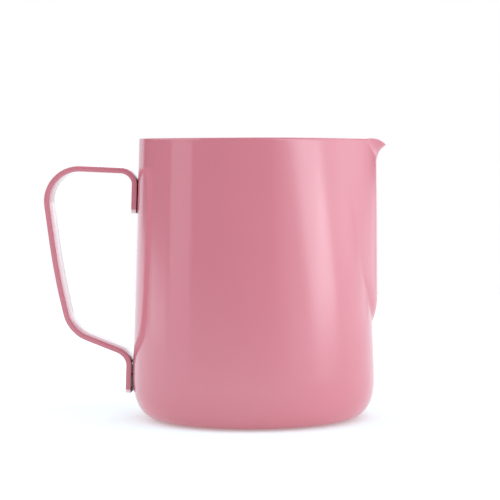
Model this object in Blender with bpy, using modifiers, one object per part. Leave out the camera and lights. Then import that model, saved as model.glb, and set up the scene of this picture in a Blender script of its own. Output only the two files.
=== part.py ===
"""A 600 ml milk frothing pitcher: a drawn steel jug with a pressed spout, and a bent strap handle
that is spot welded to its wall. Metres, +Z up. The origin is on the jug's axis, on the table.
The spout points along +X and the handle along -X."""

import math

import bmesh
import bpy
from mathutils import Matrix, Vector

# Jug: outer sizes of the drawn cup
HEIGHT = 0.1038
BODY_RADIUS = 0.0450
MOUTH_RADIUS = 0.0418
WALL = 0.0009
RIM_EDGE = 0.0002
CORNER_WIDTH = 0.0109
CORNER_RISE = 0.0160
CORNER_FULLNESS = 2.47

# Spout: its ridge stands upright while the wall leans in, so it grows towards the rim
RIDGE_RADIUS = 0.04615
SPOUT_START = 0.0358
RIDGE_END_LENGTH = 0.0090
FLANK_END_LENGTH = 0.0240
FLANK_END_POWER = 0.7
FLANK_ANGLE_LOW = math.radians(16.0)
FLANK_ANGLE_RIM = math.radians(34.0)
CREASE_LOW = 0.10
CREASE_RIM = 0.20
NOSE_HALF_WIDTH = 0.0025
NOSE_POWER_LOW = 1.8
NOSE_POWER_RIM = 1.5

# Beak: the pouring lip at the top of the ridge, towards which the rim dips
BEAK_DEPTH = 0.0092
BEAK_REACH = 0.00345
BEAK_DROP = 0.0023
BEAK_HALF_WIDTH = 0.0110
BEAK_CURL = 3.2
BEAK_CREASE = 1.6
BEAK_DROP_POWER = 2.5
RIM_DIP = 0.0007

# Handle: a flat strip, its corners measured from the rim, the base and the wall
STRAP_WIDTH = 0.0120
STRAP_THICKNESS = 0.0020
STRAP_EDGE = 0.0004
FOOT_CORNER = 0.0020
FOOT_GAP = 0.0003
TOP_BELOW_RIM = 0.0121
TOP_LIFT = 0.0017
TOP_REACH = 0.0345
KNEE_RISE = 0.0202
KNEE_REACH = 0.0267
LOW_CORNER_LIFT = 0.00855
LOW_CORNER_REACH = 0.0219
LOWER_FOOT_TOP = 0.02375
UPPER_FOOT_LENGTH = 0.0157
LOWER_FOOT_LENGTH = 0.0139
UPPER_FOOT_BEND = 0.0050
TOP_BEND = 0.01216
KNEE_BEND = 0.2700
LOW_BEND = 0.0133
LOWER_FOOT_BEND = 0.0059
MOST_BENT = 0.97

# Spot welds, two under each foot, seated in shallow pockets in its back
WELD_DIAMETER = 0.0036
WELD_SEAT = 0.0010
WELD_CLEARANCE = 0.0003
WELD_FROM_END = 0.0036
WELD_PITCH = 0.0050

# Facets
JUG_SIDES = 80
CROWD = 0.6
BEAK_RINGS = 6
BEAK_RING_POWER = 1.4
RIDGE_RINGS = 4
SPOUT_END_RINGS = 9
SPOUT_END_POWER = 1.6
CORNER_RINGS = 7
BEND_STEP = math.radians(9.0)
FOOT_CORNER_STEPS = 3
WELD_SIDES = 20
AXIS_MERGE = 0.00005
SMOOTH_BELOW = math.radians(40.0)
EDGE_ABOVE = math.radians(60.0)

# Finishes
COAT_COLOUR = (0.66, 0.20, 0.26)
COAT_ROUGHNESS = 0.25
STEEL_COLOUR = (0.45, 0.44, 0.43)
STEEL_ROUGHNESS = 0.40


def smooth(share):
    """An S-curve from 0 to 1."""
    share = min(max(share, 0.0), 1.0)
    return share * share * (3 - 2 * share)


def wall_slope():
    """How much the wall's radius shrinks for each metre of height."""
    return (BODY_RADIUS - MOUTH_RADIUS) / (HEIGHT - CORNER_RISE)


def wall_radius(z):
    """Outer radius of the round jug: a cone above a full, rounded base corner."""
    if z >= CORNER_RISE:
        return BODY_RADIUS - (z - CORNER_RISE) * wall_slope()
    fall = (CORNER_RISE - z) / CORNER_RISE
    bulge = (1 - fall**CORNER_FULLNESS) ** (1 / CORNER_FULLNESS)
    return BODY_RADIUS - CORNER_WIDTH * (1 - bulge)


def jug_profile():
    """The jug's outer side as (radius, height), from the rim down to the middle of the base."""
    beak_foot = HEIGHT - BEAK_DEPTH
    flank_foot = SPOUT_START + FLANK_END_LENGTH
    heights = [HEIGHT - BEAK_DEPTH * (k / BEAK_RINGS) ** BEAK_RING_POWER for k in range(BEAK_RINGS)]
    heights += [beak_foot + (flank_foot - beak_foot) * k / RIDGE_RINGS for k in range(RIDGE_RINGS)]
    for k in range(SPOUT_END_RINGS):
        heights.append(SPOUT_START + FLANK_END_LENGTH * (1 - k / SPOUT_END_RINGS) ** SPOUT_END_POWER)
    heights += [SPOUT_START, (SPOUT_START + CORNER_RISE) / 2]
    profile = [(wall_radius(z), z) for z in heights]
    for k in range(CORNER_RINGS + 1):
        turn = math.pi / 2 * k / CORNER_RINGS
        share = 2 / CORNER_FULLNESS
        width = CORNER_WIDTH * max(math.cos(turn), 0.0) ** share
        drop = CORNER_RISE * math.sin(turn) ** share
        profile.append((BODY_RADIUS - CORNER_WIDTH + width, CORNER_RISE - drop))
    return profile + [(0.0, 0.0)]


def round_end(distance, length):
    """Rises from 0 to 1 over this length and levels out, as a parabola does."""
    left = 1 - min(max(distance / length, 0.0), 1.0)
    return 1 - left * left


def pressed_x(x, y, z):
    """How far along X the spout pushes a point of the wall: a trough, round at its lower end and
    sharper towards the rim, whose flanks run into the round wall."""
    up = z - SPOUT_START
    rise = up / (HEIGHT - SPOUT_START)
    opening = FLANK_ANGLE_LOW + (FLANK_ANGLE_RIM - FLANK_ANGLE_LOW) * rise
    angle = opening * round_end(up, FLANK_END_LENGTH) ** FLANK_END_POWER
    side = wall_radius(z) * math.sin(angle)
    foot = wall_radius(z) * math.cos(angle)
    power = NOSE_POWER_RIM + (NOSE_POWER_LOW - NOSE_POWER_RIM) * (1 - smooth(up / FLANK_END_LENGTH))

    def fall(width):
        return math.hypot(width, NOSE_HALF_WIDTH) ** power - NOSE_HALF_WIDTH**power

    trough = RIDGE_RADIUS - (RIDGE_RADIUS - foot) * fall(y) / fall(side)
    crease = side * (CREASE_LOW + (CREASE_RIM - CREASE_LOW) * rise)
    inside = smooth((side + crease - abs(y)) / (2 * crease))
    return x + (trough - x) * inside * round_end(up, RIDGE_END_LENGTH)


def press_spout(point):
    """Where a point of the round cup ends up when the spout and its beak are pressed out."""
    turn = math.atan2(point.y, point.x)
    angle = turn - CROWD * math.sin(turn)
    radius = math.hypot(point.x, point.y)
    moved = Vector((radius * math.cos(angle), radius * math.sin(angle), point.z))
    if moved.x > 0 and point.z > SPOUT_START:
        moved.x = pressed_x(*moved)
    up = (point.z - HEIGHT + BEAK_DEPTH) / BEAK_DEPTH
    if moved.x > 0 and up > 0:
        across = min(abs(moved.y) / (BEAK_HALF_WIDTH * up), 1.0)
        beak = (1 - across * across) ** BEAK_CREASE
        moved.x += BEAK_REACH * up**BEAK_CURL * beak
        moved.z -= BEAK_DROP * up * beak**BEAK_DROP_POWER
    if moved.x > 0:
        moved.z -= RIM_DIP * point.z / HEIGHT * math.cos(angle) ** 2
    return moved


def bend_path(corners):
    """Points along straight runs through these corners, with an arc of the given radius at each.
    Each corner is (x, z, radius). Arcs that would use up a run between them are made smaller.
    Every point comes with its share of the way through the bends."""
    spots = [Vector((x, z)) for x, z, _ in corners]
    legs = [b - a for a, b in zip(spots, spots[1:])]
    turns = [a.angle(b) for a, b in zip(legs, legs[1:])]
    wants = [0.0] + [r * math.tan(t / 2) for (_, _, r), t in zip(corners[1:], turns)] + [0.0]
    room = [min(1.0, MOST_BENT * leg.length / (a + b)) for leg, a, b in zip(legs, wants, wants[1:])]
    points = [(spots[0], 0.0)]
    for k, turn in enumerate(turns):
        reach = wants[k + 1] * min(room[k], room[k + 1])
        start = spots[k + 1] - legs[k].normalized() * reach
        side = math.copysign(1.0, legs[k].cross(legs[k + 1]))
        radius = reach / math.tan(turn / 2)
        ahead = legs[k].normalized()
        centre = start + Vector((-ahead.y, ahead.x)) * side * radius
        steps = max(2, round(turn / BEND_STEP))
        for step in range(steps + 1):
            swing = Matrix.Rotation(side * turn * step / steps, 2)
            points.append((centre + swing @ (start - centre), k + step / steps))
    points.append((spots[-1], float(len(turns))))
    return points


def foot_line(z):
    """The x of the strap's middle where a foot lies on the wall, on the straight cone."""
    cone = BODY_RADIUS - (z - CORNER_RISE) * wall_slope()
    return -(cone + FOOT_GAP + STRAP_THICKNESS / 2)


def handle_corners():
    """The strap's bends as (x, z, radius), from the upper foot's end to the lower foot's end."""
    top = HEIGHT - TOP_BELOW_RIM
    low = LOWER_FOOT_TOP
    upper_end = top - UPPER_FOOT_LENGTH
    lower_end = low - LOWER_FOOT_LENGTH
    low_corner = low + LOW_CORNER_LIFT
    return [
        (foot_line(upper_end), upper_end, 0.0),
        (foot_line(top), top, UPPER_FOOT_BEND),
        (foot_line(top) - TOP_REACH, top + TOP_LIFT, TOP_BEND),
        (foot_line(low) - KNEE_REACH, low_corner + KNEE_RISE, KNEE_BEND),
        (foot_line(low) - LOW_CORNER_REACH, low_corner, LOW_BEND),
        (foot_line(low), low, LOWER_FOOT_BEND),
        (foot_line(lower_end), lower_end, 0.0),
    ]


def strap_columns():
    """Places across the strap as (y, how far its end is rounded back there)."""
    half = STRAP_WIDTH / 2
    corner = min(FOOT_CORNER, half)
    side = []
    for k in range(FOOT_CORNER_STEPS + 1):
        turn = math.pi / 2 * k / FOOT_CORNER_STEPS
        side.append((half - corner + corner * math.sin(turn), corner * (1 - math.cos(turn))))
    return [(-y, back) for y, back in reversed(side)] + [(0.0, 0.0)] + side


def strap_surface():
    """The strap's middle surface: flat along the grip, dished at both feet to lie round the wall."""
    path = bend_path(handle_corners())
    last = path[-1][1]
    columns = strap_columns()
    mesh = bmesh.new()
    rows = []
    for k, (spot, bend) in enumerate(path):
        seat = 1 - smooth(min(bend, last - bend))
        ahead = Vector((0.0, 0.0))
        if k == 0:
            ahead = (path[1][0] - spot).normalized()
        elif k == len(path) - 1:
            ahead = (path[-2][0] - spot).normalized()
        row = []
        for y, back in columns:
            hug = -spot.x - math.sqrt(spot.x**2 - y * y)
            place = spot + ahead * back
            row.append(mesh.verts.new((place.x + hug * seat, y, place.y)))
        rows.append(row)
    for near, far in zip(rows, rows[1:]):
        for k in range(len(columns) - 1):
            mesh.faces.new((near[k], near[k + 1], far[k + 1], far[k]))
    return mesh


def weld_heights():
    """Heights of the welds, named for the foot that each one holds."""
    corners = handle_corners()
    lean = math.cos(math.atan(wall_slope()))
    heights = {}
    for foot, end in (("upper", corners[0][1]), ("lower", corners[-1][1])):
        heights[foot + "_weld_bottom"] = end + WELD_FROM_END * lean
        heights[foot + "_weld_top"] = end + (WELD_FROM_END + WELD_PITCH) * lean
    return heights


def disc(radius, inner, outer, z):
    """A short cylinder square to the wall at this height, between two distances from the jug's axis."""
    mesh = bmesh.new()
    bmesh.ops.create_cone(
        mesh, cap_ends=True, segments=WELD_SIDES, radius1=radius, radius2=radius, depth=outer - inner
    )
    square_to_wall = Matrix.Rotation(math.atan(wall_slope()) - math.pi / 2, 4, "Y")
    place = Matrix.Translation((-(inner + outer) / 2, 0.0, z))
    mesh.transform(place @ square_to_wall)
    return mesh


def weld_span(z):
    """The distances from the axis between which a weld lies: off the wall, into the foot's pocket."""
    foot_back = -foot_line(z) - STRAP_THICKNESS / 2
    return wall_radius(z) + WELD_CLEARANCE, foot_back + min(WELD_SEAT, STRAP_THICKNESS / 2) - WELD_CLEARANCE


def finish(name, colour, roughness, metallic):
    """A plain material with this colour."""
    material = bpy.data.materials.new(name)
    material.use_nodes = True
    shader = material.node_tree.nodes["Principled BSDF"]
    shader.inputs["Base Color"].default_value = (*colour, 1.0)
    shader.inputs["Roughness"].default_value = roughness
    shader.inputs["Metallic"].default_value = metallic
    material.diffuse_color = (*colour, 1.0)
    return material


def add_object(name, shape, collection, material=None):
    """An object with this bmesh as its mesh, shaded smooth."""
    mesh = bpy.data.meshes.new(name)
    shape.to_mesh(mesh)
    shape.free()
    mesh.shade_smooth()
    mesh.set_sharp_from_angle(angle=SMOOTH_BELOW)
    obj = bpy.data.objects.new(name, mesh)
    if material:
        mesh.materials.append(material)
    collection.objects.link(obj)
    return obj


def turned_cup(collection):
    """The round cup before pressing: the profile, turned round Z, as a bmesh."""
    profile = bmesh.new()
    points = [profile.verts.new((radius, 0.0, z)) for radius, z in jug_profile()]
    for a, b in zip(points, points[1:]):
        profile.edges.new((a, b))
    guide = add_object("jug_profile", profile, collection)
    screw = guide.modifiers.new("turn", "SCREW")
    screw.steps = screw.render_steps = JUG_SIDES
    screw.use_merge_vertices = True
    screw.merge_threshold = AXIS_MERGE
    view = bpy.context.evaluated_depsgraph_get()
    cup = bmesh.new()
    cup.from_mesh(guide.evaluated_get(view).to_mesh())
    bpy.data.objects.remove(guide)
    return cup


def build_jug(collection, coat):
    """The drawn cup with its spout pressed out, as a sheet of even thickness."""
    cup = turned_cup(collection)
    for vert in cup.verts:
        vert.co = press_spout(vert.co)
    jug = add_object("jug_body", cup, collection, coat)
    sheet = jug.modifiers.new("wall", "SOLIDIFY")
    sheet.thickness = WALL
    sheet.offset = -1
    sheet.use_even_offset = True
    edge = jug.modifiers.new("rim", "BEVEL")
    edge.width = min(RIM_EDGE, WALL / 3)
    edge.segments = 1
    edge.limit_method = "ANGLE"
    edge.angle_limit = EDGE_ABOVE
    return jug


def build_handle(collection, cutters, coat):
    """The bent strap, with a shallow pocket in its feet for each weld."""
    strap = add_object("handle_strap", strap_surface(), collection, coat)
    sheet = strap.modifiers.new("thickness", "SOLIDIFY")
    sheet.thickness = STRAP_THICKNESS
    sheet.offset = 0
    sheet.use_even_offset = True
    edge = strap.modifiers.new("edges", "BEVEL")
    edge.width = min(STRAP_EDGE, STRAP_THICKNESS / 3)
    edge.segments = 2
    edge.limit_method = "ANGLE"
    edge.angle_limit = EDGE_ABOVE
    for name, z in weld_heights().items():
        inner, outer = weld_span(z)
        pocket = disc(
            WELD_DIAMETER / 2 + WELD_CLEARANCE, inner - STRAP_THICKNESS, outer + WELD_CLEARANCE, z
        )
        cutter = add_object(name + "_pocket", pocket, cutters)
        cutter.hide_render = True
        cutter.display_type = "WIRE"
        cut = strap.modifiers.new(name, "BOOLEAN")
        cut.operation = "DIFFERENCE"
        cut.object = cutter
    return strap


def build_welds(collection, steel):
    """The spot welds between the wall and the feet."""
    for name, z in weld_heights().items():
        add_object(name, disc(WELD_DIAMETER / 2, *weld_span(z), z), collection, steel)


def main():
    for obj in list(bpy.data.objects):
        bpy.data.objects.remove(obj)
    parts = bpy.data.collections.new("milk_pitcher")
    cutters = bpy.data.collections.new("cutters")
    for collection in (parts, cutters):
        bpy.context.scene.collection.children.link(collection)
    coat = finish("pink_satin_coat", COAT_COLOUR, COAT_ROUGHNESS, 0.0)
    handle_coat = finish("pink_satin_coat_handle", COAT_COLOUR, COAT_ROUGHNESS, 0.0)
    steel = finish("weld_steel", STEEL_COLOUR, STEEL_ROUGHNESS, 1.0)
    build_jug(parts, coat)
    build_handle(parts, cutters, handle_coat)
    build_welds(parts, steel)


main()
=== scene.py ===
# %% [markdown]
# # A milk frothing pitcher with a pink baked coat
#
# The pitcher is one drawn steel jug with a spout pressed out of its wall, and one bent steel strap that
# is spot welded on as a handle. This lesson takes the imported solids as a fixed frame and dresses them:
# smooth skins for the jug and the strap, a baked enamel coat, bare steel inside, a camera and a small
# studio.
#
# The frame comes first, because some sizes below are taken from it.

# %% Load the frame
import math

import bpy
from mathutils import Matrix, Vector


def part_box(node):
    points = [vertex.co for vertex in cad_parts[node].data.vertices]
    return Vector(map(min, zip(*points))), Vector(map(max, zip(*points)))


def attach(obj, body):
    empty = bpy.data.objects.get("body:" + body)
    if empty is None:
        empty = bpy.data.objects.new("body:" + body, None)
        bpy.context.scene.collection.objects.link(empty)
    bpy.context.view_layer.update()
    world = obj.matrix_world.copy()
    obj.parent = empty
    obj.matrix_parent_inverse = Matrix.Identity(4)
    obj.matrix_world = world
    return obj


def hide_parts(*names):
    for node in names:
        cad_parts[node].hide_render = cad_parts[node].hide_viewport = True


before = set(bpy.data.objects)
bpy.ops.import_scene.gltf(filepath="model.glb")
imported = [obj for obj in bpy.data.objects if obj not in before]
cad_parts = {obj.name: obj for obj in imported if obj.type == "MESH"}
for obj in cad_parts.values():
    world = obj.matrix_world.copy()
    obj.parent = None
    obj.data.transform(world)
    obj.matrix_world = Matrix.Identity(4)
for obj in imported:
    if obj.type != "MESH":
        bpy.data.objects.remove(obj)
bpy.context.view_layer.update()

jug_low, jug_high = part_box("jug_body")
strap_low, strap_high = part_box("handle_strap")
print("nodes:", sorted(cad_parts))
print("jug in mm:", [round(side * 1000, 1) for side in jug_high - jug_low])
print("strap in mm:", [round(side * 1000, 1) for side in strap_high - strap_low])

# %% [markdown]
# ## Three small tools
#
# Materials and geometry trees are both built from nodes. Clicking them together is fine by hand, but a
# script wants one call for each node. `add` makes a node, sets its properties and fills its inputs: a
# plain value stays on the socket, and a node or a socket becomes a link. A Mix node has sockets of the
# same name for numbers, vectors and colours, so its colour sockets are taken by their place in its list.
#
# Colours are picked on screen as sRGB hex values, and Blender's shaders work on linear light, so `linear`
# turns one into the other. Patterns are sized in millimetres, and `per_metre` turns that into a texture's
# scale.

# %% Tools for nodes and colours
COLOUR_A = 6
COLOUR_B = 7
MIXED_COLOUR = 2


def add(tree, kind, inputs=None, **settings):
    """Adds a node with these settings. An input is a value, a socket, or a node for its first output."""
    node = tree.nodes.new(kind)
    for name, value in settings.items():
        setattr(node, name, value)
    for key, value in (inputs or {}).items():
        if isinstance(value, bpy.types.Node):
            value = value.outputs[0]
        if isinstance(value, bpy.types.NodeSocket):
            tree.links.new(value, node.inputs[key])
        else:
            node.inputs[key].default_value = value
    return node


def linear(hex_colour):
    """An sRGB colour such as "#D47C8C" as linear red, green, blue and alpha."""
    parts = [int(hex_colour[k : k + 2], 16) / 255 for k in (1, 3, 5)]
    light = [part / 12.92 if part <= 0.04045 else ((part + 0.055) / 1.055) ** 2.4 for part in parts]
    return (*light, 1.0)


def per_metre(size_mm):
    """The scale of a texture whose marks are this many millimetres apart."""
    return 1000 / size_mm


print("pink in linear light:", [round(part, 3) for part in linear("#D47C8C")])

# %% [markdown]
# ## The camera
#
# The photograph was taken with a long lens from almost the height of the rim, so the mouth closes to a
# line. The jug is turned a few degrees, which brings the inner face of the handle into view. A Track To
# constraint could aim the camera. Here yaw, pitch and roll are set as turns, one after the other, because
# each of them can then be read and changed by itself.

# %% Camera
CAMERA_DISTANCE = 0.750
CAMERA_HEIGHT = 0.10198
CAMERA_ASIDE = -0.00109
CAMERA_YAW = math.radians(4.3)
CAMERA_PITCH = math.radians(3.04)
CAMERA_ROLL = math.radians(-0.36)
LENS_MM = 145.56
SENSOR_MM = 36.0
NEAREST_SEEN = 0.01

lens = bpy.data.cameras.new("camera")
lens.lens = LENS_MM
lens.sensor_width = SENSOR_MM
lens.clip_start = NEAREST_SEEN
camera = bpy.data.objects.new("camera", lens)
bpy.context.scene.collection.objects.link(camera)
camera.matrix_world = (
    Matrix.Rotation(CAMERA_YAW, 4, "Z")
    @ Matrix.Translation((CAMERA_ASIDE, -CAMERA_DISTANCE, CAMERA_HEIGHT))
    @ Matrix.Rotation(math.pi / 2 - CAMERA_PITCH, 4, "X")
    @ Matrix.Rotation(CAMERA_ROLL, 4, "Z")
)
bpy.context.scene.camera = camera
print("camera at", [round(place, 4) for place in camera.matrix_world.translation])

# %% [markdown]
# ## The coat: baked enamel on steel
#
# Outside, the steel is sprayed with a pink epoxy enamel and baked. Such a coat is smooth but not
# polished: its gloss is a soft mirror, with the faint ripple that sprayers call orange peel. Under it,
# the draw lines of the press still show as faint upright streaks. A few specks of dust are caught in it.
#
# A painted image could hold all this, but it would need a UV map, and it would blur up close. One
# Principled shader with a few textures stays sharp. A slow noise moves the colour and the gloss by a few
# hundredths, and a Voronoi pattern that is cut off close to its cell centres makes the specks. All of it
# reads Object coordinates, so it sits still on the metal from every side.

# %% Enamel colour and gloss
ENAMEL_PINK = "#D37C87"
ENAMEL_DEEP = "#D07985"
ENAMEL_SPECK = "#9C4F60"
ENAMEL_ROUGHNESS = 0.12
ENAMEL_ROUGHNESS_CHANGE = 0.015
NOISE_LOW = 0.3
NOISE_HIGH = 0.7
PATCH_MM = 28.0
SPECK_EVERY_MM = 17.0
SPECK_RADIUS_MM = 0.22
SPECK_CORE = 0.6


def colour_enamel(tree, shader, place):
    """Gives the shader its pink, with slow patches and a few specks, and its gloss."""
    patches = add(
        tree,
        "ShaderNodeTexNoise",
        {"Vector": place, "Scale": per_metre(PATCH_MM), "Detail": 2.0},
    )
    pink = add(
        tree,
        "ShaderNodeMix",
        {"Factor": patches, COLOUR_A: linear(ENAMEL_PINK), COLOUR_B: linear(ENAMEL_DEEP)},
        data_type="RGBA",
    )
    cells = add(tree, "ShaderNodeTexVoronoi", {"Vector": place, "Scale": per_metre(SPECK_EVERY_MM)})
    speck_size = SPECK_RADIUS_MM / SPECK_EVERY_MM
    speck = add(
        tree,
        "ShaderNodeMapRange",
        {
            "Value": cells.outputs["Distance"],
            "From Min": speck_size * SPECK_CORE,
            "From Max": speck_size,
            "To Min": 1.0,
            "To Max": 0.0,
        },
    )
    colour = add(
        tree,
        "ShaderNodeMix",
        {"Factor": speck, COLOUR_A: pink.outputs[MIXED_COLOUR], COLOUR_B: linear(ENAMEL_SPECK)},
        data_type="RGBA",
    )
    tree.links.new(colour.outputs[MIXED_COLOUR], shader.inputs["Base Color"])

    gloss = add(
        tree,
        "ShaderNodeMapRange",
        {
            "Value": patches,
            "From Min": NOISE_LOW,
            "From Max": NOISE_HIGH,
            "To Min": ENAMEL_ROUGHNESS - ENAMEL_ROUGHNESS_CHANGE,
            "To Max": ENAMEL_ROUGHNESS + ENAMEL_ROUGHNESS_CHANGE,
        },
    )
    tree.links.new(gloss.outputs[0], shader.inputs["Roughness"])


print("enamel colours:", ENAMEL_PINK, ENAMEL_DEEP, ENAMEL_SPECK)

# %% [markdown]
# ### The coat's relief
#
# Two bumps lie over each other. The orange peel is an even ripple in the coat. The draw lines are in the
# steel below, and the noise for them is squeezed across and long in Z, the direction in which the cup was
# drawn.

# %% Enamel relief
PEEL_MM = 1.7
PEEL_HEIGHT_MM = 0.0035
LINE_MM = 1.3
LINE_LENGTH_MM = 70.0
LINE_HEIGHT_MM = 0.0030


def emboss_enamel(tree, shader, place, relief):
    """Gives the shader the coat's orange peel and the steel's draw lines. relief scales both."""
    peel = add(tree, "ShaderNodeTexNoise", {"Vector": place, "Scale": per_metre(PEEL_MM), "Detail": 1.0})
    ripple = add(tree, "ShaderNodeBump", {"Height": peel, "Distance": relief * PEEL_HEIGHT_MM / 1000})
    along, across = per_metre(LINE_LENGTH_MM), per_metre(LINE_MM)
    stretched = add(tree, "ShaderNodeMapping", {"Vector": place, "Scale": (across, across, along)})
    lines = add(tree, "ShaderNodeTexNoise", {"Vector": stretched, "Scale": 1.0, "Detail": 1.0})
    drawn = add(
        tree,
        "ShaderNodeBump",
        {"Height": lines, "Distance": relief * LINE_HEIGHT_MM / 1000, "Normal": ripple},
    )
    tree.links.new(drawn.outputs[0], shader.inputs["Normal"])


print("peel every", PEEL_MM, "mm, draw lines every", LINE_MM, "mm")

# %% [markdown]
# ### The coat of the jug and of the strap
#
# The jug and the strap are sprayed with the same enamel. The strap is flat strip that was only bent, so
# its relief is fainter. It gets a coat of its own for another reason too, which comes next.

# %% Enamel
ENAMEL_IOR = 1.50
JUG_RELIEF = 1.0
STRAP_RELIEF = 0.35


def baked_enamel(name, relief):
    """Pink epoxy enamel on steel, with this much relief."""
    material = bpy.data.materials.new(name)
    material.use_nodes = True
    tree = material.node_tree
    shader = tree.nodes["Principled BSDF"]
    shader.inputs["IOR"].default_value = ENAMEL_IOR
    place = add(tree, "ShaderNodeTexCoord").outputs["Object"]
    colour_enamel(tree, shader, place)
    emboss_enamel(tree, shader, place, relief)
    return material


jug_enamel = baked_enamel("baked_epoxy_enamel", JUG_RELIEF)
strap_enamel = baked_enamel("baked_epoxy_enamel_on_strap", STRAP_RELIEF)
print("made", jug_enamel.name, "and", strap_enamel.name)

# %% [markdown]
# ## Where the strap's coat differs
#
# On the strap, the coat isn't the same all over. The narrow sides near the cut ends get a painted
# highlight: a pale pink-white base colour. The backs of the feet, in the narrow gap between the feet and
# the wall, get painted shade: a dark base colour and no gloss.
#
# This could be painted on by hand as vertex colours. But the rule that bends the strap knows where its
# ends and the backs of its feet are. So the strap will carry two attributes, one for the painted
# highlight and one that falls to 0 in the painted shade, and its coat reads them here.

# %% Touches on the strap's coat
# A painted highlight: pale pink-white on the narrow sides near the strap's cut ends.
END_HIGHLIGHT = "#F8E0E6"
# Painted shade: a dark colour on the backs of the feet, in the gap by the wall.
GAP_SHADE = "#6E3A46"
GLOSS = 0.5


def touch_coat(material, attribute, none_at, all_at, colour):
    """Turns the coat to this colour as the attribute goes from none_at to all_at. Returns the share."""
    tree = material.node_tree
    base_colour = tree.nodes["Principled BSDF"].inputs["Base Color"]
    coat = base_colour.links[0].from_socket
    value = add(tree, "ShaderNodeAttribute", attribute_name=attribute).outputs["Fac"]
    share = add(tree, "ShaderNodeMapRange", {"Value": value, "From Min": none_at, "From Max": all_at})
    touched = add(
        tree,
        "ShaderNodeMix",
        {"Factor": share, COLOUR_A: coat, COLOUR_B: linear(colour)},
        data_type="RGBA",
    )
    tree.links.new(touched.outputs[MIXED_COLOUR], base_colour)
    return share.outputs[0]


# Paints the highlight on the narrow sides near the cut ends.
touch_coat(strap_enamel, "end_highlight", 0.0, 1.0, END_HIGHLIGHT)
# Paints the shade on the backs of the feet, in the gap by the wall.
gap_shade = touch_coat(strap_enamel, "unshaded", 1.0, 0.0, GAP_SHADE)
strap_nodes = strap_enamel.node_tree
strap_shader = strap_nodes.nodes["Principled BSDF"]
# The painted shade also takes the gloss away there.
shade_gloss = add(strap_nodes, "ShaderNodeMapRange", {"Value": gap_shade, "To Min": GLOSS, "To Max": 0.0})
strap_nodes.links.new(shade_gloss.outputs[0], strap_shader.inputs["Specular IOR Level"])
print("the strap's coat has a painted highlight at its cut ends and painted shade behind its feet")

# %% [markdown]
# ## The inside: brushed stainless steel
#
# Inside, the drawn steel is left bare and is brushed while the cup turns, so its scratches run round it.
# A metal has no separate gloss: its colour is the reflection's. The spot welds are the same steel, but
# their heat has tinted them darker and duller.
#
# An anisotropic shader could stretch the reflection along the scratches, but it needs a tangent at every
# point. A noise that is squeezed along Z and long in X and Y gives such rings more simply, and it drives
# both the roughness and a little bump. Real scratches are too fine to show here, so they are drawn half a
# millimetre apart.

# %% Brushed steel
STEEL_PALE = "#EBE8E4"
STEEL_DARK = "#DEDAD5"
STEEL_ROUGHNESS = 0.34
WELD_PALE = "#5C5652"
WELD_DARK = "#3F3A38"
WELD_ROUGHNESS = 0.55
STEEL_ROUGHNESS_CHANGE = 0.05
SCRATCH_MM = 0.5
SCRATCH_LENGTH_MM = 40.0
SCRATCH_HEIGHT_MM = 0.004


def brushed_steel(name, pale, dark, roughness):
    """Stainless steel of two greys, with fine scratches that run round Z."""
    material = bpy.data.materials.new(name)
    material.use_nodes = True
    tree = material.node_tree
    shader = tree.nodes["Principled BSDF"]
    shader.inputs["Metallic"].default_value = 1.0
    place = add(tree, "ShaderNodeTexCoord").outputs["Object"]
    along, across = per_metre(SCRATCH_LENGTH_MM), per_metre(SCRATCH_MM)
    squeezed = add(tree, "ShaderNodeMapping", {"Vector": place, "Scale": (along, along, across)})
    scratches = add(tree, "ShaderNodeTexNoise", {"Vector": squeezed, "Scale": 1.0, "Detail": 3.0})
    colour = add(
        tree,
        "ShaderNodeMix",
        {"Factor": scratches, COLOUR_A: linear(pale), COLOUR_B: linear(dark)},
        data_type="RGBA",
    )
    tree.links.new(colour.outputs[MIXED_COLOUR], shader.inputs["Base Color"])
    gloss = add(
        tree,
        "ShaderNodeMapRange",
        {
            "Value": scratches,
            "From Min": NOISE_LOW,
            "From Max": NOISE_HIGH,
            "To Min": roughness - STEEL_ROUGHNESS_CHANGE,
            "To Max": roughness + STEEL_ROUGHNESS_CHANGE,
        },
    )
    tree.links.new(gloss.outputs[0], shader.inputs["Roughness"])
    bump = add(tree, "ShaderNodeBump", {"Height": scratches, "Distance": SCRATCH_HEIGHT_MM / 1000})
    tree.links.new(bump.outputs[0], shader.inputs["Normal"])
    return material


inside_steel = brushed_steel("brushed_stainless_steel", STEEL_PALE, STEEL_DARK, STEEL_ROUGHNESS)
weld_steel = brushed_steel("heat_tinted_weld_steel", WELD_PALE, WELD_DARK, WELD_ROUGHNESS)
print("made", inside_steel.name, "and", weld_steel.name)

# %% [markdown]
# ## A tree for a piece that follows a rule
#
# Both skins follow a rule. The jug is a line, turned round Z and then pressed. The strap is a section,
# swept along a bent path. A Geometry Nodes tree can hold such a rule: each size is a named input, and
# each step of the rule is one Math or Map Range node with a name.
#
# The steps are kept as rows of a table, and `add_rule` adds one node for each row. A row reads like a
# line of arithmetic: its name, what it does, and the names or numbers that it works on.

# %% Tools for geometry trees
RAMPS = ("LINEAR", "SMOOTHSTEP")
HAIR = 1e-6


def new_tree(name, sizes):
    """An empty geometry tree that takes a line and these named sizes, and its group input."""
    tree = bpy.data.node_groups.new(name, "GeometryNodeTree")
    tree.interface.new_socket("Line", in_out="INPUT", socket_type="NodeSocketGeometry")
    tree.interface.new_socket("Skin", in_out="OUTPUT", socket_type="NodeSocketGeometry")
    for size in sizes:
        tree.interface.new_socket(size, in_out="INPUT", socket_type="NodeSocketFloat")
    return tree, add(tree, "NodeGroupInput")


def add_rule(tree, values, rows):
    """Adds one node for each row, and its result to the named values."""
    for name, step, *terms in rows:
        inputs = {k: values[term] if isinstance(term, str) else term for k, term in enumerate(terms)}
        if step in RAMPS:
            node = add(tree, "ShaderNodeMapRange", inputs, interpolation_type=step, label=name)
        else:
            node = add(tree, "ShaderNodeMath", inputs, operation=step, label=name)
        values[name] = node.outputs[0]


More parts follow.
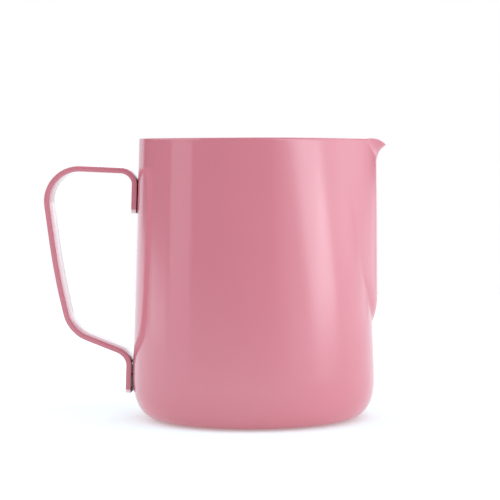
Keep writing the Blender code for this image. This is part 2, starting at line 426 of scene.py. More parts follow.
def end_tree(tree, shape, position, material):
    """Moves the shape's points to the rule's place, closes its seams and gives it its material."""
    moved = add(tree, "GeometryNodeSetPosition", {"Geometry": shape, "Position": position})
    closed = add(tree, "GeometryNodeMergeByDistance", {"Geometry": moved, "Distance": HAIR})
    smooth = add(tree, "GeometryNodeSetShadeSmooth", {"Geometry": closed})
    real = add(tree, "GeometryNodeRealizeInstances", {"Geometry": smooth})
    coated = add(tree, "GeometryNodeSetMaterial", {"Geometry": real, "Material": material})
    add(tree, "NodeGroupOutput", {"Skin": coated})


print("a rule's row is a Math node, or one of the ramps", RAMPS)

# %% [markdown]
# ## From a line to a plain mesh
#
# A rule starts from a line, which is a mesh of points and edges only, and it ends as a plain mesh. So one
# tool draws the line, one runs the tree on it, and one keeps what came out and removes the modifiers.
# Blender's own Apply would do the last step too, but it works on the active object. A mesh that is taken
# from the evaluated object needs no active one.

# %% Tools for plain meshes
def draw_line(name, points):
    """An object whose mesh is only this line."""
    mesh = bpy.data.meshes.new(name)
    mesh.from_pydata(points, [(k, k + 1) for k in range(len(points) - 1)], [])
    line = bpy.data.objects.new(name, mesh)
    bpy.context.scene.collection.objects.link(line)
    return line


def keep_plain(piece):
    """Turns the evaluated piece into a plain mesh, and removes its modifiers."""
    view = bpy.context.evaluated_depsgraph_get()
    mesh = bpy.data.meshes.new_from_object(piece.evaluated_get(view))
    piece.modifiers.clear()
    piece.data = mesh
    mesh.name = piece.name


def grow(piece, tree, sizes):
    """Runs the tree on the piece's line with these sizes."""
    modifier = piece.modifiers.new("rule", "NODES")
    modifier.node_group = tree
    for socket in tree.interface.items_tree:
        if socket.in_out == "INPUT" and socket.name in sizes:
            modifier[socket.identifier] = sizes[socket.name]
    keep_plain(piece)
    slots = piece.data.materials
    for k in reversed(range(len(slots))):
        if slots[k] is None:
            slots.pop(index=k)


print("a piece starts as a line and ends as a plain mesh")

# %% [markdown]
# ## The jug's line
#
# Seen from the side, the jug is a leaning wall over a full, rounded base corner. The corner isn't an arc:
# a drawn cup bulges a little more than that, and a superellipse with a power near 2.5 has that look. A
# Bezier curve could be drawn by eye, but the formula stays smooth and has only three numbers to set. The
# line runs from the middle of the base out to the corner and up to the rim.

# %% Jug line
HEIGHT = 0.1038
BODY_RADIUS = jug_high.y
MOUTH_RADIUS = 0.0418
CORNER_WIDTH = 0.0109
CORNER_RISE = 0.0160
CORNER_FULLNESS = 2.47
CORNER_STEPS = 160
LINE_STEPS = 300


def jug_line():
    """Points of the jug's outer side, from the middle of the base to the rim."""
    points = [(0.0, 0.0, 0.0)]
    share = 2 / CORNER_FULLNESS
    for k in range(CORNER_STEPS + 1):
        turn = math.pi / 2 * k / CORNER_STEPS
        width = CORNER_WIDTH * math.sin(turn) ** share
        drop = CORNER_RISE * max(math.cos(turn), 0.0) ** share
        points.append((BODY_RADIUS - CORNER_WIDTH + width, 0.0, CORNER_RISE - drop))
    for k in range(1, LINE_STEPS + 1):
        up = k / LINE_STEPS
        radius = BODY_RADIUS + (MOUTH_RADIUS - BODY_RADIUS) * up
        points.append((radius, 0.0, CORNER_RISE + (HEIGHT - CORNER_RISE) * up))
    return points


jug = draw_line("jug_skin", jug_line())
print("jug line:", len(jug.data.vertices), "points")

# %% [markdown]
# ## Turning the line
#
# A Screw modifier could turn the line in even steps. A grid can do more: each column is a direction round
# Z, each row is a place on the line, and the columns can crowd towards the spout, where the shape is
# finest.

# %% Turned jug
JUG_COLUMNS = 208
JUG_ROWS = 150
CROWD = 0.6
jug_sizes = {"height": HEIGHT}
turn_rows = [
    ("turn", "MULTIPLY", "column", math.tau),
    ("bunch", "SINE", "turn"),
    ("angle", "MULTIPLY_ADD", "bunch", -CROWD, "turn"),
    ("cosine", "COSINE", "angle"),
    ("sine", "SINE", "angle"),
    ("x", "MULTIPLY", "radius", "cosine"),
    ("y", "MULTIPLY", "radius", "sine"),
    ("aside", "ABSOLUTE", "y"),
    ("front", "GREATER_THAN", "x", 0.0),
]
print("turning the line takes", len(turn_rows), "steps")

# %% [markdown]
# ## The spout's trough
#
# The spout is pressed out along X. Its ridge stands upright while the wall leans in, so it grows towards
# the rim. On each side, a flank runs from the ridge back to the wall. The two flanks start at a narrow,
# rounded lower end and open towards the mouth. Across, the spout is a trough with a blunt nose, which
# gets sharper towards the rim.
#
# Such a form could be sculpted, but then it couldn't be resized. Here the rule works out, for each point
# of the grid, how wide the spout is at that height and how far the trough reaches out there.

# %% Spout trough
spout_sizes = {
    "spout start": 0.0358,
    "ridge": 0.04615,
    "flank end": 0.0240,
    "flank end power": 0.7,
    "flank low": math.radians(16.0),
    "flank rim": math.radians(34.0),
    "nose": 0.0025,
    "nose power low": 1.8,
    "nose power rim": 1.5,
}
jug_sizes.update(spout_sizes)
flank_rows = [
    ("up", "SUBTRACT", "z", "spout start"),
    ("flank angle", "LINEAR", "z", "spout start", "height", "flank low", "flank rim"),
    ("flank left", "LINEAR", "up", 0.0, "flank end", 1.0, 0.0),
    ("flank gone", "MULTIPLY", "flank left", "flank left"),
    ("flank grown", "SUBTRACT", 1.0, "flank gone"),
    ("flank root", "POWER", "flank grown", "flank end power"),
    ("half angle", "MULTIPLY", "flank angle", "flank root"),
    ("side sine", "SINE", "half angle"),
    ("side", "MULTIPLY", "radius", "side sine"),
    ("foot cosine", "COSINE", "half angle"),
    ("foot", "MULTIPLY", "radius", "foot cosine"),
]
trough_rows = [
    ("power", "SMOOTHSTEP", "up", 0.0, "flank end", "nose power low", "nose power rim"),
    ("nose square", "MULTIPLY", "nose", "nose"),
    ("nose fall", "POWER", "nose", "power"),
    ("y square", "MULTIPLY_ADD", "y", "y", "nose square"),
    ("y root", "SQRT", "y square"),
    ("y power", "POWER", "y root", "power"),
    ("y fall", "SUBTRACT", "y power", "nose fall"),
    ("side square", "MULTIPLY_ADD", "side", "side", "nose square"),
    ("side root", "SQRT", "side square"),
    ("side power", "POWER", "side root", "power"),
    ("side fall", "SUBTRACT", "side power", "nose fall"),
    ("fall", "DIVIDE", "y fall", "side fall"),
    ("depth", "SUBTRACT", "ridge", "foot"),
    ("drop", "MULTIPLY", "depth", "fall"),
    ("trough", "SUBTRACT", "ridge", "drop"),
]
print("the trough takes", len(flank_rows + trough_rows), "steps")

# %% [markdown]
# ## Pressing the spout out of the wall
#
# Where the flanks meet the wall, there is a crease. The press leaves it crisp at the spout's lower end,
# and it softens towards the rim. So the trough takes over from the wall within a band that is a share of
# the spout's own width, narrow below and wider above. The ridge rises from the wall over its first few
# millimetres.

# %% Spout press
press_sizes = {"ridge end": 0.0090, "crease low": 0.05, "crease rim": 0.20}
jug_sizes.update(press_sizes)
press_rows = [
    ("crease", "LINEAR", "z", "spout start", "height", "crease low", "crease rim"),
    ("crease in", "SUBTRACT", 1.0, "crease"),
    ("crease out", "ADD", 1.0, "crease"),
    ("crease start", "MULTIPLY", "side", "crease in"),
    ("crease end", "MULTIPLY", "side", "crease out"),
    ("inside", "SMOOTHSTEP", "aside", "crease start", "crease end", 1.0, 0.0),
    ("ridge left", "LINEAR", "up", 0.0, "ridge end", 1.0, 0.0),
    ("ridge gone", "MULTIPLY", "ridge left", "ridge left"),
    ("ridge grown", "SUBTRACT", 1.0, "ridge gone"),
    ("press", "MULTIPLY", "inside", "ridge grown"),
    ("front press", "MULTIPLY", "press", "front"),
    ("push", "SUBTRACT", "trough", "x"),
    ("pressed x", "MULTIPLY_ADD", "push", "front press", "x"),
]
print("pressing takes", len(press_rows), "steps")

# %% [markdown]
# ## The beak and the rim
#
# At the top of the ridge, the edge is curled out and down into a small beak, which cuts off the stream of
# milk. It is widest at the rim and closes to a point a little below it. The rim itself dips slightly
# towards the spout.

# %% Beak and rim
beak_sizes = {
    "beak depth": 0.0092,
    "beak reach": 0.00342,
    "beak drop": 0.0023,
    "beak half width": 0.0110,
    "beak curl": 3.2,
    "beak crease": 1.6,
    "beak drop power": 2.5,
    "rim dip": 0.0007,
}
jug_sizes.update(beak_sizes)
beak_rows = [
    ("beak foot", "SUBTRACT", "height", "beak depth"),
    ("beak up", "LINEAR", "z", "beak foot", "height", 0.0, 1.0),
    ("beak width", "MULTIPLY", "beak half width", "beak up"),
    ("across", "DIVIDE", "aside", "beak width"),
    ("across beak", "MINIMUM", "across", 1.0),
    ("across square", "MULTIPLY", "across beak", "across beak"),
    ("tent", "SUBTRACT", 1.0, "across square"),
    ("round tent", "POWER", "tent", "beak crease"),
    ("beak", "MULTIPLY", "round tent", "front"),
    ("curl", "POWER", "beak up", "beak curl"),
    ("reach", "MULTIPLY", "beak reach", "curl"),
    ("last x", "MULTIPLY_ADD", "reach", "beak", "pressed x"),
    ("lip", "POWER", "beak", "beak drop power"),
    ("lip up", "MULTIPLY", "lip", "beak up"),
    ("lip drop", "MULTIPLY", "lip up", "beak drop"),
    ("beak z", "SUBTRACT", "z", "lip drop"),
]
dip_rows = [
    ("cosine square", "MULTIPLY", "cosine", "cosine"),
    ("toward spout", "MULTIPLY", "cosine square", "front"),
    ("up share", "DIVIDE", "z", "height"),
    ("dip share", "MULTIPLY", "toward spout", "up share"),
    ("dip", "MULTIPLY", "dip share", "rim dip"),
    ("last z", "SUBTRACT", "beak z", "dip"),
]
print("the beak and the rim take", len(beak_rows + dip_rows), "steps")

# %% [markdown]
# ## Growing the jug
#
# The tree samples the line once for each row of the grid, runs the rule on every point, and closes the
# seam where the first and the last column meet.

# %% Jug sheet
GRID_SIDE = 1.0
jug_tree, jug_inputs = new_tree("pressed_jug", jug_sizes)
grid = add(
    jug_tree,
    "GeometryNodeMeshGrid",
    {
        "Size X": GRID_SIDE,
        "Size Y": GRID_SIDE,
        "Vertices X": JUG_COLUMNS + 1,
        "Vertices Y": JUG_ROWS + 1,
    },
)
spot = add(jug_tree, "ShaderNodeSeparateXYZ", {"Vector": add(jug_tree, "GeometryNodeInputPosition")})
row = add(jug_tree, "ShaderNodeMath", {0: spot.outputs["Y"], 1: GRID_SIDE / 2}, operation="ADD")
line = add(jug_tree, "GeometryNodeMeshToCurve", {"Mesh": jug_inputs.outputs["Line"]})
sample = add(jug_tree, "GeometryNodeSampleCurve", {"Curves": line, "Factor": row}, use_all_curves=True)
on_line = add(jug_tree, "ShaderNodeSeparateXYZ", {"Vector": sample.outputs["Position"]})
values = {size: jug_inputs.outputs[size] for size in jug_sizes}
values.update(column=spot.outputs["X"], radius=on_line.outputs["X"], z=on_line.outputs["Z"])
add_rule(jug_tree, values, turn_rows + flank_rows + trough_rows + press_rows + beak_rows + dip_rows)
place = add(
    jug_tree,
    "ShaderNodeCombineXYZ",
    {"X": values["last x"], "Y": values["y"], "Z": values["last z"]},
)
end_tree(jug_tree, grid, place, jug_enamel)
grow(jug, jug_tree, jug_sizes)
print("jug sheet:", len(jug.data.polygons), "faces")

# %% [markdown]
# ## The jug's wall
#
# The sheet so far has no thickness. A second rule could make the inner side, but Solidify does it from
# the first: it gives the sheet the wall of a real pitcher, 0.9 mm, and keeps that even round the spout.
# Its inner faces take the second material, so the steel is bare inside. A small bevel rounds the rim, as
# deburring does before the coat is sprayed.

# %% Jug wall
WALL = 0.0009
RIM_ROUNDING = 0.00028
RIM_STEPS = 3
RIM_ANGLE = math.radians(60)

jug.data.materials.append(inside_steel)
wall = jug.modifiers.new("wall", "SOLIDIFY")
wall.thickness = WALL
wall.offset = -1
wall.use_even_offset = True
wall.material_offset = 1
rim = jug.modifiers.new("rim", "BEVEL")
rim.width = RIM_ROUNDING
rim.segments = RIM_STEPS
rim.limit_method = "ANGLE"
rim.angle_limit = RIM_ANGLE
keep_plain(jug)
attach(jug, "root")
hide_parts("jug_body")
print("jug:", len(jug.data.polygons), "faces,", [m.name for m in jug.data.materials])

# %% [markdown]
# ## The strap's path
#
# The handle is a flat steel strip with four bends and a slow curve in the grip. Its feet lie along the
# wall, a small gap off it, so their line leans with it. A strip that is bent over tools has straight runs
# and true arcs, which are hard to draw as a Bezier curve. So the path has only one point at each corner
# and one at each end.

# %% Strap corners
STRAP_WIDTH = 0.0120
STRAP_THICKNESS = 0.0020
UPPER_FOOT_GAP = 0.0003
LOWER_FOOT_GAP = 0.00055
TOP_BELOW_RIM = 0.0121
TOP_LIFT = 0.0017
TOP_REACH = 0.0345
KNEE_RISE = 0.0202
KNEE_REACH = 0.02645
LOW_CORNER_LIFT = 0.00855
LOW_CORNER_REACH = 0.02165
LOWER_FOOT_TOP = 0.02375
UPPER_FOOT_LENGTH = 0.0157
LOWER_FOOT_LENGTH = 0.0146


def foot_x(z, gap):
    """The x of the strap's middle where it lies this gap off the wall at this height."""
    lean = (BODY_RADIUS - MOUTH_RADIUS) / (HEIGHT - CORNER_RISE)
    return -(BODY_RADIUS - (z - CORNER_RISE) * lean + gap + STRAP_THICKNESS / 2)


def strap_corners():
    """The path's ends and corners, from the end of the upper foot to the end of the lower one."""
    top = HEIGHT - TOP_BELOW_RIM
    low = LOWER_FOOT_TOP
    knee = low + LOW_CORNER_LIFT + KNEE_RISE
    upper_end = top - UPPER_FOOT_LENGTH
    lower_end = low - LOWER_FOOT_LENGTH
    top_x, low_x = foot_x(top, UPPER_FOOT_GAP), foot_x(low, LOWER_FOOT_GAP)
    return [
        Vector((foot_x(upper_end, UPPER_FOOT_GAP), 0.0, upper_end)),
        Vector((top_x, 0.0, top)),
        Vector((top_x - TOP_REACH, 0.0, top + TOP_LIFT)),
        Vector((low_x - KNEE_REACH, 0.0, knee)),
        Vector((low_x - LOW_CORNER_REACH, 0.0, low + LOW_CORNER_LIFT)),
        Vector((low_x, 0.0, low)),
        Vector((foot_x(lower_end, LOWER_FOOT_GAP), 0.0, lower_end)),
    ]


corners = strap_corners()
print("the strap's path has", len(corners), "points")

# %% [markdown]
# ### The strap's bends
#
# Each corner carries its bend radius as an attribute, and a Fillet Curve node will turn the corners into
# arcs. Where the bends of the two feet start and end is also worked out here, as lengths along the strap,
# because the feet change into the flat strap there.

# %% Strap bends
UPPER_FOOT_BEND = 0.0050
TOP_BEND = 0.01216
GRIP_CURVE = 0.2588
LOW_BEND = 0.01275
LOWER_FOOT_BEND = 0.0059
BENDS = (0.0, UPPER_FOOT_BEND, TOP_BEND, GRIP_CURVE, LOW_BEND, LOWER_FOOT_BEND, 0.0)


def foot_bend(end, corner, after, radius):
    """Where a foot's bend starts and ends, as lengths along the strap from the foot's end."""
    turn = (corner - end).angle(after - corner)
    start = (corner - end).length - radius * math.tan(turn / 2)
    return start, start + radius * turn


strap = draw_line("handle_skin", corners)
bend = strap.data.attributes.new("bend", "FLOAT", "POINT")
bend.data.foreach_set("value", BENDS)
upper_bend = foot_bend(corners[0], corners[1], corners[2], UPPER_FOOT_BEND)
lower_bend = foot_bend(corners[-1], corners[-2], corners[-3], LOWER_FOOT_BEND)
print("upper bend from", [round(s * 1000, 2) for s in upper_bend], "mm")
print("lower bend from", [round(s * 1000, 2) for s in lower_bend], "mm")

# %% [markdown]
# ## Sweeping the strap
#
# Curve to Mesh could sweep the strap's section along the bent path at once. Here it sweeps it along a
# straight helper line, and the rule then moves each point to its place on the path. That way the rule
# knows how far along the strap a point is. The rows crowd towards the strap's ends, where the shape is
# finest, and the first and last rows shrink to a point, which closes the ends.

# %% Along the strap
STRAP_ROWS = 400
ROWS_TO_ENDS = 0.85
along_rows = [
    ("opened", "LINEAR", "share", 0.0, 1 / STRAP_ROWS, 0.0, 1.0),
    ("not shut", "LINEAR", "share", 1 - 1 / STRAP_ROWS, 1.0, 1.0, 0.0),
    ("open", "MULTIPLY", "opened", "not shut"),
    ("even", "LINEAR", "share", 1 / STRAP_ROWS, 1 - 1 / STRAP_ROWS, 0.0, 1.0),
    ("round", "MULTIPLY", "even", math.tau),
    ("wave", "SINE", "round"),
    ("drawn to ends", "MULTIPLY_ADD", "wave", -ROWS_TO_ENDS / math.tau, "even"),
    ("along", "MULTIPLY", "drawn to ends", "length"),
    ("left", "SUBTRACT", "length", "along"),
    ("from end", "MINIMUM", "along", "left"),
]
print("the way along the strap takes", len(along_rows), "steps")

# %% [markdown]
# ## The strap's ends
#
# The strip is cut with round corners, and all its edges are broken a little. So near an end, the width
# and the thickness are both drawn in along a quarter circle. The rule also marks where a highlight is
# painted into the coat: on the narrow sides, close to the ends.

# %% Strap ends
strap_sizes = {
    "half width": STRAP_WIDTH / 2,
    "half thickness": STRAP_THICKNESS / 2,
    "foot corner": 0.0020,
    "edge": 0.00028,
    "highlight full": 0.0010,
    "highlight gone": 0.0017,
}
end_rows = [
    ("corner left", "LINEAR", "from end", 0.0, "foot corner", 1.0, 0.0),
    ("corner gone", "MULTIPLY", "corner left", "corner left"),
    ("corner grown", "SUBTRACT", 1.0, "corner gone"),
    ("corner root", "SQRT", "corner grown"),
    ("corner back", "SUBTRACT", 1.0, "corner root"),
    ("corner cut", "MULTIPLY", "corner back", "foot corner"),
    ("edge left", "LINEAR", "from end", 0.0, "edge", 1.0, 0.0),
    ("edge gone", "MULTIPLY", "edge left", "edge left"),
    ("edge grown", "SUBTRACT", 1.0, "edge gone"),
    ("edge root", "SQRT", "edge grown"),
    ("edge back", "SUBTRACT", 1.0, "edge root"),
    ("edge cut", "MULTIPLY", "edge back", "edge"),
    ("cut", "ADD", "corner cut", "edge cut"),
    ("wide", "SUBTRACT", "half width", "cut"),
    ("wide share", "DIVIDE", "wide", "half width"),
    ("thick", "SUBTRACT", "half thickness", "edge cut"),
    ("thick share", "DIVIDE", "thick", "half thickness"),
    ("open wide", "MULTIPLY", "wide share", "open"),
    ("open thick", "MULTIPLY", "thick share", "open"),
    ("y", "MULTIPLY", "across", "open wide"),
    ("off", "MULTIPLY", "through", "open thick"),
]
# These rows mark the narrow sides near the ends, where the highlight is painted.
cut_rows = [
    ("aside", "ABSOLUTE", "across"),
    ("face end", "SUBTRACT", "half width", "edge"),
    ("past face", "SUBTRACT", "aside", "face end"),
    ("on side", "GREATER_THAN", "past face", HAIR),
    ("near end", "LINEAR", "from end", "highlight full", "highlight gone", 1.0, 0.0),
    ("end_highlight", "MULTIPLY", "near end", "on side"),
]
print("the ends take", len(end_rows + cut_rows), "steps")

# %% [markdown]
# ## The strap's feet
#
# The feet are dished, so that they hug the round wall. Each point of a foot moves in by as much as the
# wall falls away at its side, and that fades out over the foot's bend, because the rest of the strap is
# flat. The backs of the feet are marked as well, for painted shade in the gap by the wall: the mark falls
# to 0 there.

# %% Strap feet
foot_sizes = {
    "upper bend start": upper_bend[0],
    "upper bend end": upper_bend[1],
    "lower bend start": lower_bend[0],
    "lower bend end": lower_bend[1],
}
strap_sizes.update(foot_sizes)
seat_rows = [
    ("upper seat", "SMOOTHSTEP", "along", "upper bend start", "upper bend end", 1.0, 0.0),
    ("lower seat", "SMOOTHSTEP", "left", "lower bend start", "lower bend end", 1.0, 0.0),
    ("seat", "MAXIMUM", "upper seat", "lower seat"),
    ("reach square", "MULTIPLY", "path x", "path x"),
    ("y square", "MULTIPLY", "y", "y"),
    ("inner square", "SUBTRACT", "reach square", "y square"),
    ("inner", "SQRT", "inner square"),
    ("reach", "ABSOLUTE", "path x"),
    ("hug", "SUBTRACT", "reach", "inner"),
    ("toward wall", "MULTIPLY", "off", "tangent z"),
    ("lift x", "ADD", "path x", "toward wall"),
    ("last x", "MULTIPLY_ADD", "hug", "seat", "lift x"),
    ("back", "MULTIPLY", "off", "tangent x"),
    ("last z", "SUBTRACT", "path z", "back"),
]
# These rows mark the backs of the feet, in the gap by the wall, for the painted shade.
gap_shade_rows = [
    ("face start", "SUBTRACT", "half thickness", "edge"),
    ("on back", "LINEAR", "toward wall", "face start", "half thickness", 0.0, 1.0),
    ("seat square", "MULTIPLY", "seat", "seat"),
    ("close", "MULTIPLY", "seat square", "seat square"),
    ("painted shade", "MULTIPLY", "on back", "close"),
    ("unshaded", "SUBTRACT", 1.0, "painted shade"),
]
print("the feet take", len(seat_rows + gap_shade_rows), "steps")

# %% [markdown]
# ## The strap's path and section as nodes
#
# The tree bends the path, stores the share of the way on the helper line, and stores each point's own
# place on the section. Curve to Mesh carries both over to the swept mesh, where the rule reads them.

# %% Strap path and section
EDGE_STEPS = 4
BEND_STEPS = 28
strap_tree, strap_inputs = new_tree("bent_strap", strap_sizes)
values = {size: strap_inputs.outputs[size] for size in strap_sizes}
path = add(strap_tree, "GeometryNodeMeshToCurve", {"Mesh": strap_inputs.outputs["Line"]})
bend_radius = add(strap_tree, "GeometryNodeInputNamedAttribute", {"Name": "bend"}, data_type="FLOAT")
path = add(
    strap_tree,
    "GeometryNodeFilletCurve",
    {"Curve": path, "Count": BEND_STEPS, "Radius": bend_radius, "Limit Radius": True},
    mode="POLY",
)
values["length"] = add(strap_tree, "GeometryNodeCurveLength", {"Curve": path}).outputs[0]

helper = add(strap_tree, "GeometryNodeCurvePrimitiveLine", {"End": (1.0, 0.0, 0.0)})
helper = add(strap_tree, "GeometryNodeResampleCurve", {"Curve": helper, "Count": STRAP_ROWS + 1})
share = add(strap_tree, "GeometryNodeSplineParameter").outputs["Factor"]
helper = add(
    strap_tree,
    "GeometryNodeStoreNamedAttribute",
    {"Geometry": helper, "Name": "share", "Value": share},
)
section = add(
    strap_tree,
    "GeometryNodeCurvePrimitiveQuadrilateral",
    {"Width": STRAP_WIDTH, "Height": STRAP_THICKNESS},
)
section = add(
    strap_tree,
    "GeometryNodeFilletCurve",
    {"Curve": section, "Count": EDGE_STEPS, "Radius": values["edge"], "Limit Radius": True},
    mode="POLY",
)
section = add(
    strap_tree,
    "GeometryNodeStoreNamedAttribute",
    {"Geometry": section, "Name": "section", "Value": add(strap_tree, "GeometryNodeInputPosition")},
    data_type="FLOAT_VECTOR",
)
swept = add(strap_tree, "GeometryNodeCurveToMesh", {"Curve": helper, "Profile Curve": section})
print("the path and the section have", len(strap_tree.nodes), "nodes")

# %% [markdown]
# ## Growing the strap
#
# Last, the rule samples the bent path as far along as each point is, and moves the point there. The two
# marks that the coat reads are stored on the mesh.

# %% Strap skin
values["share"] = add(
    strap_tree, "GeometryNodeInputNamedAttribute", {"Name": "share"}, data_type="FLOAT"
).outputs[0]
section_place = add(
    strap_tree, "GeometryNodeInputNamedAttribute", {"Name": "section"}, data_type="FLOAT_VECTOR"
)
section_place = add(strap_tree, "ShaderNodeSeparateXYZ", {"Vector": section_place})
values.update(across=section_place.outputs["X"], through=section_place.outputs["Y"])
add_rule(strap_tree, values, along_rows + end_rows + cut_rows)
sample = add(
    strap_tree,
    "GeometryNodeSampleCurve",
    {"Curves": path, "Length": values["along"]},
    mode="LENGTH",
    use_all_curves=True,
)
path_place = add(strap_tree, "ShaderNodeSeparateXYZ", {"Vector": sample.outputs["Position"]})
path_tangent = add(strap_tree, "ShaderNodeSeparateXYZ", {"Vector": sample.outputs["Tangent"]})
values.update({"path x": path_place.outputs["X"], "path z": path_place.outputs["Z"]})
values.update({"tangent x": path_tangent.outputs["X"], "tangent z": path_tangent.outputs["Z"]})
add_rule(strap_tree, values, seat_rows + gap_shade_rows)
place = add(
    strap_tree,
    "ShaderNodeCombineXYZ",
    {"X": values["last x"], "Y": values["y"], "Z": values["last z"]},
)
# Stores the marks for the painted highlight and the painted shade.
marked = swept
for name in ("end_highlight", "unshaded"):
    marked = add(
        strap_tree,
        "GeometryNodeStoreNamedAttribute",
        {"Geometry": marked, "Name": name, "Value": values[name]},
    )
end_tree(strap_tree, marked, place, strap_enamel)
grow(strap, strap_tree, strap_sizes)
print("strap:", len(strap.data.polygons), "faces")

# %% [markdown]
# ## Weld seats
#
# Two spot welds hold each foot. The solids have them as small discs in shallow pockets in the back of the
# feet, and the smooth strap gets the same pockets, so that nothing runs into anything. Each pocket could
# be modelled into the strap, but a Boolean takes it from its weld's own box, a little wider.

# %% Weld seats
SEAT_CLEARANCE = 0.0003
SEAT_SIDES = 40
WELDS = ("upper_weld_top", "upper_weld_bottom", "lower_weld_top", "lower_weld_bottom")


def cut_seat(weld):
    """Cuts a round pocket for this weld into the strap's foot."""
    low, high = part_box(weld)
    middle = (low + high) / 2
    radius = (high.y - low.y) / 2 + SEAT_CLEARANCE
    outer, inner = low.x - SEAT_CLEARANCE, high.x + STRAP_THICKNESS / 2
    bpy.ops.mesh.primitive_cylinder_add(vertices=SEAT_SIDES, radius=radius, depth=inner - outer)
    cutter = bpy.context.object
    cutter.data.transform(
        Matrix.Translation(((inner + outer) / 2, 0.0, middle.z)) @ Matrix.Rotation(math.pi / 2, 4, "Y")
    )
    cut = strap.modifiers.new(weld, "BOOLEAN")
    cut.operation = "DIFFERENCE"
    cut.object = cutter
    keep_plain(strap)
    bpy.data.objects.remove(cutter)


for weld in WELDS:
    cut_seat(weld)
    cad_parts[weld].data.materials.clear()
    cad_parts[weld].data.materials.append(weld_steel)
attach(strap, "root")
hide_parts("handle_strap")
print("strap with weld seats:", len(strap.data.polygons), "faces")

# %% [markdown]
# ## The floor
#
# The pitcher stands on a plain, round table of frosted white acrylic. Such a table is lit a little from
# below, so that shadows on it stay pale. A lamp under a thin sheet could do that, but a little emission
# on the surface is even all over and has no noise. The table is kept a hair below the base, so the two
# don't share a plane.

# %% Floor
FLOOR_RADIUS = 0.6
FLOOR_SIDES = 96
FLOOR_DROP = 0.0002
FLOOR_WHITE = "#DEE8E9"
FLOOR_GLOW = 0.30
FLOOR_ROUGHNESS = 0.9
PURE_WHITE = "#FFFFFF"

floor_mesh = bpy.data.meshes.new("floor")
turns = [math.tau * k / FLOOR_SIDES for k in range(FLOOR_SIDES)]
floor_mesh.from_pydata(
    [(FLOOR_RADIUS * math.cos(turn), FLOOR_RADIUS * math.sin(turn), -FLOOR_DROP) for turn in turns],
    [],
    [tuple(range(FLOOR_SIDES))],
)
floor = bpy.data.objects.new("floor", floor_mesh)
bpy.context.scene.collection.objects.link(floor)
floor_paint = bpy.data.materials.new("frosted_white_acrylic")
floor_paint.use_nodes = True
floor_shader = floor_paint.node_tree.nodes["Principled BSDF"]
floor_shader.inputs["Base Color"].default_value = linear(FLOOR_WHITE)
floor_shader.inputs["Emission Color"].default_value = linear(PURE_WHITE)
floor_shader.inputs["Emission Strength"].default_value = FLOOR_GLOW
floor_shader.inputs["Roughness"].default_value = FLOOR_ROUGHNESS
floor_shader.inputs["Specular IOR Level"].default_value = 0.0
floor_mesh.materials.append(floor_paint)
print("table", FLOOR_RADIUS * 2, "m wide")

# %% [markdown]
# ## The studio
#
# A glossy coat shows its surroundings, so the light is mostly a matter of what stands where. Softboxes
# could be area lights, but an area light has hard edges all round. Seen from the pitcher, a softbox is
# only a patch of directions, so here the world holds them all. Each has its bounds in degrees: round the
# pitcher from the front, where the right is positive, and up from the table. Each bound has its own
# softness, and the strip leans.
#
# The bright leaning band on the jug is the mirror image of a strip light that leans away at the right. A
# narrow panel at the left gives the fainter upright band. The large panels above them light the coat
# itself, the white screen behind draws the pale edges, and the ceiling whitens the table. The bands just
# below the horizon stand for the far table, which is brighter behind and at both sides. Straight in
# front, between the table and the front panel, it stays dark, which keeps the pink deep.

# %% Softboxes
NO_EDGE = 400
SOFTBOXES = {
    "strip": dict(turn=(59.3, 86.3), soft=(11, 2), lift=(-1.6, 12), fade=(3, 4), lean=3.7, light=4.95),
    "right wing": dict(turn=(70, 122), soft=(8, 40), lift=(-1, 8), fade=(1.6, 4), light=2.75),
    "right": dict(turn=(50, 112), soft=(6, 10), lift=(8, 48), fade=(4, 10), light=2.2),
    "front right": dict(turn=(30, 70), soft=(20, 6), lift=(-1, 8), fade=(1.6, 4), light=1.0),
    "front": dict(turn=(-50, 50), soft=(20, 20), lift=(25, 50), fade=(6, 10), light=1.5),
    "left band": dict(turn=(-84.2, -58.7), soft=(1, 2), lift=(-1.4, 8), fade=(3, 4), light=1.25),
    "left": dict(turn=(-122, -50), soft=(10, 6), lift=(8, 48), fade=(4, 10), light=2.0),
    "screen": dict(turn=(152, 190), soft=(6, 6), lift=(-1, 8), fade=(1.6, 4), light=1.95),
    "left screen": dict(turn=(190, 222), soft=(6, 5), lift=(-1, 8), fade=(1.6, 4), light=1.0),
    "high screen": dict(turn=(130, 229), soft=(10, 2), lift=(8, 46), fade=(4, 12), light=1.38),
    "ceiling": dict(turn=(-NO_EDGE, NO_EDGE), soft=(1, 1), lift=(50, NO_EDGE), fade=(10, 1), light=1.3),
    "far table": dict(turn=(-NO_EDGE, 152), soft=(1, 6), lift=(-12, -1), fade=(4, 1.6), light=0.95),
    "table behind": dict(turn=(152, NO_EDGE), soft=(6, 1), lift=(-12, -1), fade=(4, 1.6), light=1.45),
    "table left": dict(turn=(-113, -88), soft=(6, 6), lift=(-12, -1), fade=(4, 1.6), light=1.0),
    "table right": dict(turn=(40, 145), soft=(10, 10), lift=(-12, -1), fade=(4, 1.6), light=0.8),
}
print("softboxes:", ", ".join(SOFTBOXES))

# %% [markdown]
# ### The rule for a softbox
#
# The rule first turns a direction into degrees round and degrees up. For each softbox it then finds how
# far the direction lies inside the four bounds, and adds the softbox's light to the sum, which starts
# from none. Degrees round have their seam behind at the left, where the high screen has ended and the
# left panel hasn't started.

# %% Softbox rule
ROUND_FROM = -130.0
ROUND_TO = 230.0
direction_rows = [
    ("toward", "MULTIPLY", "y", -1.0),
    ("radians round", "ARCTAN2", "x", "toward"),
    ("degrees round", "DEGREES", "radians round"),
    ("round", "WRAP", "degrees round", ROUND_TO, ROUND_FROM),
    ("radians up", "ARCSINE", "z"),
    ("up", "DEGREES", "radians up"),
    ("none", "MULTIPLY", "z", 0.0),
]


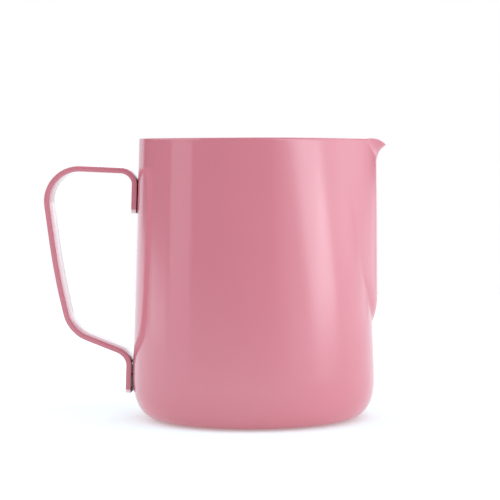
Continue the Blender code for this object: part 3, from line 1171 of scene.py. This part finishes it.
def softbox_rows(turn, soft, lift, fade, light, lean=0.0):
    """The rule for one softbox, which adds its light to the strength."""
    (left, right), (low, high) = turn, lift
    (soft_left, soft_right), (soft_low, soft_high) = soft, fade
    return [
        ("leaning", "MULTIPLY_ADD", "up", lean, "round"),
        ("from left", "SMOOTHSTEP", "leaning", left - soft_left / 2, left + soft_left / 2, 0.0, 1.0),
        ("to right", "SMOOTHSTEP", "leaning", right - soft_right / 2, right + soft_right / 2, 1.0, 0.0),
        ("from low", "SMOOTHSTEP", "up", low - soft_low / 2, low + soft_low / 2, 0.0, 1.0),
        ("to high", "SMOOTHSTEP", "up", high - soft_high / 2, high + soft_high / 2, 1.0, 0.0),
        ("across", "MULTIPLY", "from left", "to right"),
        ("tall", "MULTIPLY", "from low", "to high"),
        ("patch", "MULTIPLY", "across", "tall"),
        ("strength", "MULTIPLY_ADD", "patch", light, "strength"),
    ]


print("each softbox takes", len(softbox_rows(**SOFTBOXES["strip"])), "steps")

# %% [markdown]
# ### The world's tree
#
# The sum of the softboxes is the strength of one Background node in a cool daylight white. The camera
# itself sees a plain white backdrop instead: a Light Path node tells the camera's own rays from those
# that light the pitcher.

# %% World
LAMP_WHITE = "#E9F6FC"


def light_world(sky, boxes):
    """Fills the world's tree with these softboxes."""
    looking = add(sky, "ShaderNodeTexCoord").outputs["Generated"]
    direction = add(sky, "ShaderNodeSeparateXYZ", {"Vector": looking})
    values = {axis: direction.outputs[axis.upper()] for axis in "xyz"}
    add_rule(sky, values, direction_rows)
    values["strength"] = values["none"]
    for box in boxes.values():
        add_rule(sky, values, softbox_rows(**box))
    return add(sky, "ShaderNodeBackground", {"Color": linear(LAMP_WHITE), "Strength": values["strength"]})


world = bpy.data.worlds.new("studio")
bpy.context.scene.world = world
world.use_nodes = True
sky = world.node_tree
sky.nodes.clear()
studio = light_world(sky, SOFTBOXES)
backdrop = add(sky, "ShaderNodeBackground", {"Color": linear(PURE_WHITE), "Strength": 1.0})
seen = add(sky, "ShaderNodeLightPath").outputs["Is Camera Ray"]
mixed = add(sky, "ShaderNodeMixShader", {0: seen, 1: studio, 2: backdrop})
add(sky, "ShaderNodeOutputWorld", {"Surface": mixed})
bpy.context.scene.view_settings.view_transform = "Standard"
print("the world has", len(sky.nodes), "nodes")
